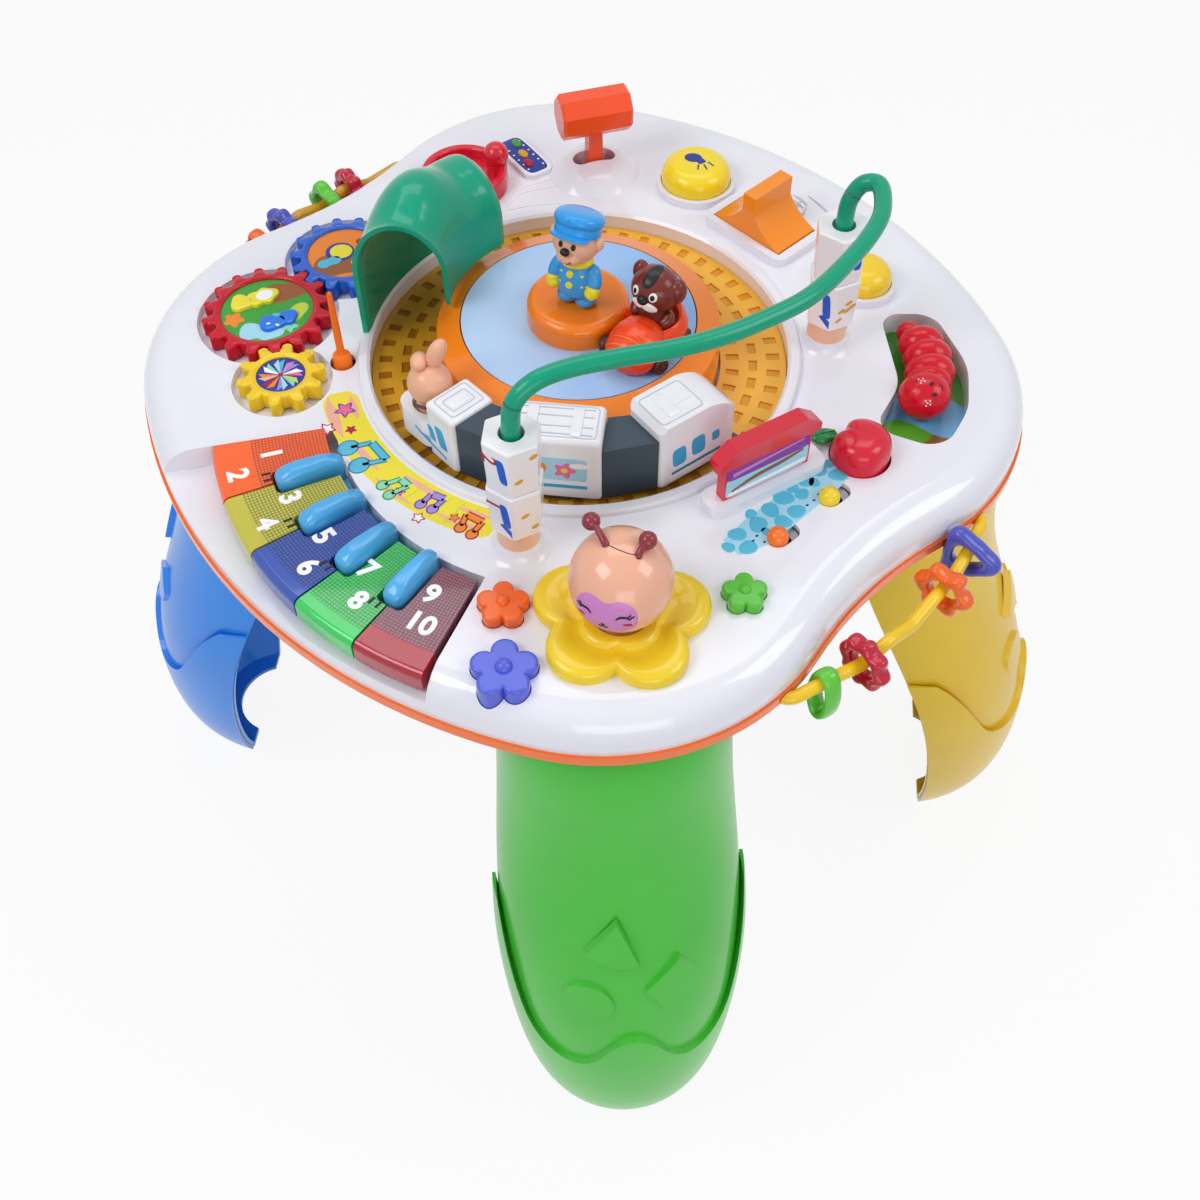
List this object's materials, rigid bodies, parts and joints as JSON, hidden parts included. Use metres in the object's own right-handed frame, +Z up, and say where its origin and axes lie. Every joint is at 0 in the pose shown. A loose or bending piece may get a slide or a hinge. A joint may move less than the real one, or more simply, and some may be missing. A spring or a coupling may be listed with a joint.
{
  "type": "musical activity table",
  "caption": "Toddler's musical activity table: lobed white top on curved legs with a train carousel, piano, gears, levers, buttons, bead arch and bead rods, all working.",
  "frame": {"origin": "on the floor, under the axis of the round track, which is the middle of the table", "axes": "+X to the leg on the user's right, +Y to the back leg, away from the piano, +Z up"},
  "size_m": [0.6034, 0.6034, 0.4923],
  "materials": {
    "white_shell": "glossy injection-moulded ABS",
    "orange_trim": "glossy injection-moulded ABS",
    "grey_cover": "lightly textured moulded plastic",
    "black_fittings": "matte moulded plastic",
    "circuit_green": "solder-masked board, matte",
    "steel_screws": "zinc plated",
    "leg_green": "satin moulded plastic",
    "leg_blue": "satin moulded plastic",
    "leg_yellow": "satin moulded plastic",
    "leg_red": "satin moulded plastic",
    "amber_track": "glossy injection-moulded ABS",
    "tunnel_green": "glossy injection-moulded ABS",
    "tube_green": "glossy extruded tube",
    "peach": "glossy injection-moulded ABS",
    "red": "glossy injection-moulded ABS",
    "yellow": "glossy injection-moulded ABS",
    "orange": "glossy injection-moulded ABS",
    "hammer_orange": "glossy injection-moulded ABS",
    "white_block": "glossy injection-moulded ABS",
    "slate": "glossy injection-moulded ABS",
    "disc_blue": "printed and lacquered",
    "driver_blue": "painted figure",
    "carrot_orange": "painted figure",
    "animal_brown": "painted figure",
    "sign_red": "glossy injection-moulded ABS",
    "rod_yellow": "glossy injection-moulded ABS",
    "bead_green": "glossy injection-moulded ABS",
    "bead_red": "glossy injection-moulded ABS",
    "bead_orange": "glossy injection-moulded ABS",
    "bead_purple": "glossy injection-moulded ABS",
    "flower_green": "glossy injection-moulded ABS",
    "flower_indigo": "glossy injection-moulded ABS",
    "flower_orange": "glossy injection-moulded ABS",
    "gear_blue": "glossy injection-moulded ABS",
    "sharp_blue": "glossy injection-moulded ABS",
    "key_clear_orange": "tinted clear plastic, polished",
    "key_clear_yellow": "tinted clear plastic, polished",
    "key_clear_blue": "tinted clear plastic, polished",
    "key_clear_green": "tinted clear plastic, polished",
    "key_clear_maroon": "tinted clear plastic, polished"
  },
  "bodies": {
    "table": {"top_shell": "white_shell", "rim_band": "orange_trim", "bottom_cover": "grey_cover", "battery_door": "black_fittings", "sound_unit": "circuit_green", "screws": "steel_screws", "leg_front": "leg_green", "leg_left": "leg_blue", "leg_right": "leg_yellow", "leg_back": "leg_red", "track_plate": "amber_track", "tunnel": "tunnel_green", "bead_tube": "tube_green", "tower_collars": "peach", "station_sign": "sign_red", "flower_bezel": "yellow", "bead_rods": "rod_yellow"},
    "carousel": {"carousel_ring": "orange", "train_engine": "white_block", "train_middle_car": "white_block", "train_rear_car": "white_block", "train_chassis": "slate", "passenger": "peach"},
    "turntable": {"picture_disc": "disc_blue", "pedestal": "orange", "driver_figure": "driver_blue", "carrot_car": "carrot_orange", "animal_figure": "animal_brown"},
    "number_block_1": {"number_block_1": "white_block"},
    "number_block_2": {"number_block_2": "white_block"},
    "number_block_3": {"number_block_3": "white_block"},
    "number_block_4": {"number_block_4": "white_block"},
    "gear_red": {"gear_red": "red"},
    "gear_blue": {"gear_blue": "gear_blue"},
    "gear_yellow": {"gear_yellow": "yellow"},
    "crank_dial": {"crank_dial": "red"},
    "hammer": {"hammer": "hammer_orange"},
    "rocker_switch": {"rocker_switch": "orange"},
    "flick_stick": {"flick_stick": "orange"},
    "lamp_button": {"lamp_button": "yellow"},
    "dome_knob": {"dome_knob": "yellow"},
    "apple_button": {"apple_button": "red"},
    "bee_head": {"bee_head": "peach"},
    "flower_button_orange": {"flower_button_orange": "flower_orange"},
    "flower_button_indigo": {"flower_button_indigo": "flower_indigo"},
    "flower_button_green": {"flower_button_green": "flower_green"},
    "power_slider": {"power_slider": "orange"},
    "volume_slider": {"volume_slider": "yellow"},
    "grub": {"grub": "red"},
    "key_1": {"key_1": "key_clear_orange"},
    "key_2": {"key_2": "key_clear_yellow"},
    "key_3": {"key_3": "key_clear_blue"},
    "key_4": {"key_4": "key_clear_green"},
    "key_5": {"key_5": "key_clear_maroon"},
    "sharp_keys": {"sharp_keys": "sharp_blue"},
    "bead_1": {"bead_1": "bead_green"},
    "bead_2": {"bead_2": "bead_red"},
    "bead_3": {"bead_3": "bead_orange"},
    "bead_4": {"bead_4": "bead_purple"},
    "rear_beads": {"rear_beads": "bead_orange"}
  },
  "joints": [
    {"name": "carousel_spin", "type": "hinge", "parent": "table", "child": "carousel", "pos_m": [0, 0, 0.38], "axis": [0, 0, 1], "continuous": true},
    {"name": "turntable_spin", "type": "hinge", "parent": "table", "child": "turntable", "pos_m": [0, 0, 0.4], "axis": [0, 0, 1], "continuous": true},
    {"name": "block_1_spin", "type": "hinge", "parent": "table", "child": "number_block_1", "pos_m": [-0.028, -0.136, 0.415], "axis": [0, 0, 1], "continuous": true},
    {"name": "block_2_spin", "type": "hinge", "parent": "table", "child": "number_block_2", "pos_m": [-0.028, -0.136, 0.444], "axis": [0, 0, 1], "continuous": true},
    {"name": "block_3_spin", "type": "hinge", "parent": "table", "child": "number_block_3", "pos_m": [0.133, 0.005, 0.444], "axis": [0, 0, 1], "continuous": true},
    {"name": "block_4_spin", "type": "hinge", "parent": "table", "child": "number_block_4", "pos_m": [0.133, 0.005, 0.415], "axis": [0, 0, 1], "continuous": true},
    {"name": "gear_red_spin", "type": "hinge", "parent": "table", "child": "gear_red", "pos_m": [-0.1718, 0.0285, 0.38], "axis": [0, 0, 1], "continuous": true},
    {"name": "gear_blue_spin", "type": "hinge", "parent": "table", "child": "gear_blue", "pos_m": [-0.13388, 0.07634, 0.38], "axis": [0, 0, 1], "continuous": true},
    {"name": "gear_yellow_spin", "type": "hinge", "parent": "table", "child": "gear_yellow", "pos_m": [-0.15748, -0.02244, 0.38], "axis": [0, 0, 1], "continuous": true},
    {"name": "crank_spin", "type": "hinge", "parent": "table", "child": "crank_dial", "pos_m": [-0.0692, 0.143, 0.384], "axis": [0, 0, 1], "continuous": true},
    {"name": "hammer_tilt", "type": "hinge", "parent": "table", "child": "hammer", "pos_m": [0.0083, 0.1577, 0.384], "axis": [-0.2756, 0.9613, 0], "range_deg": [-14, 14], "stiffness_Nm_per_rad": 0.15},
    {"name": "rocker_tilt", "type": "hinge", "parent": "table", "child": "rocker_switch", "pos_m": [0.107, 0.1005, 0.3835], "axis": [0.7266, 0.6871, 0], "range_deg": [-12, 12], "stiffness_Nm_per_rad": 0.1},
    {"name": "stick_tilt", "type": "hinge", "parent": "table", "child": "flick_stick", "pos_m": [-0.1267, -0.0085, 0.381], "axis": [-0.0663, 0.9978, 0], "range_deg": [-12, 12], "stiffness_Nm_per_rad": 0.02},
    {"name": "lamp_press", "type": "slide", "parent": "table", "child": "lamp_button", "axis": [0, 0, -1], "range_m": [0, 0.0025], "stiffness_N_per_m": 400, "springref_m": -0.002},
    {"name": "knob_press", "type": "slide", "parent": "table", "child": "dome_knob", "axis": [0, 0, -1], "range_m": [0, 0.0025], "stiffness_N_per_m": 400, "springref_m": -0.002},
    {"name": "apple_press", "type": "slide", "parent": "table", "child": "apple_button", "axis": [0, 0, -1], "range_m": [0, 0.0025], "stiffness_N_per_m": 400, "springref_m": -0.002},
    {"name": "bee_press", "type": "slide", "parent": "table", "child": "bee_head", "axis": [0, 0, -1], "range_m": [0, 0.0035], "stiffness_N_per_m": 700, "springref_m": -0.003},
    {"name": "flower_orange_press", "type": "slide", "parent": "table", "child": "flower_button_orange", "axis": [0, 0, -1], "range_m": [0, 0.0025], "stiffness_N_per_m": 300, "springref_m": -0.002},
    {"name": "flower_indigo_press", "type": "slide", "parent": "table", "child": "flower_button_indigo", "axis": [0, 0, -1], "range_m": [0, 0.0025], "stiffness_N_per_m": 300, "springref_m": -0.002},
    {"name": "flower_green_press", "type": "slide", "parent": "table", "child": "flower_button_green", "axis": [0, 0, -1], "range_m": [0, 0.0025], "stiffness_N_per_m": 300, "springref_m": -0.002},
    {"name": "power_slide", "type": "slide", "parent": "table", "child": "power_slider", "axis": [0.766, 0.6428, 0], "range_m": [0, 0.007]},
    {"name": "volume_slide", "type": "slide", "parent": "table", "child": "volume_slider", "axis": [0.766, 0.6428, 0], "range_m": [0, 0.007]},
    {"name": "grub_wiggle", "type": "hinge", "parent": "table", "child": "grub", "pos_m": [0, 0, 0.375], "axis": [0, 0, 1], "range_deg": [-4, 1]},
    {"name": "key_1_press", "type": "hinge", "parent": "table", "child": "key_1", "pos_m": [-0.12799, -0.07238, 0.3708], "axis": [0.3082, -0.9513, 0], "range_deg": [0, 3], "stiffness_Nm_per_rad": 0.4, "springref_deg": -4.58},
    {"name": "key_2_press", "type": "hinge", "parent": "table", "child": "key_2", "pos_m": [-0.11713, -0.09748, 0.3708], "axis": [0.4825, -0.8759, 0], "range_deg": [0, 3], "stiffness_Nm_per_rad": 0.4, "springref_deg": -4.58},
    {"name": "key_3_press", "type": "hinge", "parent": "table", "child": "key_3", "pos_m": [-0.10171, -0.12008, 0.3708], "axis": [0.6394, -0.7688, 0], "range_deg": [0, 3], "stiffness_Nm_per_rad": 0.4, "springref_deg": -4.58},
    {"name": "key_4_press", "type": "hinge", "parent": "table", "child": "key_4", "pos_m": [-0.0823, -0.13935, 0.3708], "axis": [0.7733, -0.6341, 0], "range_deg": [0, 3], "stiffness_Nm_per_rad": 0.4, "springref_deg": -4.58},
    {"name": "key_5_press", "type": "hinge", "parent": "table", "child": "key_5", "pos_m": [-0.0596, -0.15461, 0.3708], "axis": [0.8792, -0.4764, 0], "range_deg": [0, 3], "stiffness_Nm_per_rad": 0.4, "springref_deg": -4.58},
    {"name": "sharp_keys_press", "type": "hinge", "parent": "table", "child": "sharp_keys", "pos_m": [-0.09902, -0.11784, 0.3708], "axis": [0.6394, -0.7688, 0], "range_deg": [0, 2.5], "stiffness_Nm_per_rad": 0.5, "springref_deg": -4.58},
    {"name": "bead_1_slide_round", "type": "hinge", "parent": "table", "child": "bead_1", "pos_m": [0, 0, 0.35], "axis": [0, 0, 1], "range_deg": [0, 2]},
    {"name": "bead_2_slide_round", "type": "hinge", "parent": "table", "child": "bead_2", "pos_m": [0, 0, 0.35], "axis": [0, 0, 1], "range_deg": [-2, 7]},
    {"name": "bead_3_slide_round", "type": "hinge", "parent": "table", "child": "bead_3", "pos_m": [0, 0, 0.35], "axis": [0, 0, 1], "range_deg": [-4, 2]},
    {"name": "bead_4_slide_round", "type": "hinge", "parent": "table", "child": "bead_4", "pos_m": [0, 0, 0.35], "axis": [0, 0, 1], "range_deg": [-2, 0]},
    {"name": "rear_beads_slide_round", "type": "hinge", "parent": "table", "child": "rear_beads", "pos_m": [0, 0, 0.35], "axis": [0, 0, 1], "range_deg": [-2, 0]}
  ],
  "couplings": [
    {"joint": "gear_blue_spin", "follows": "gear_red_spin", "ratio": -1.1429},
    {"joint": "gear_yellow_spin", "follows": "gear_red_spin", "ratio": -1.6}
  ]
}
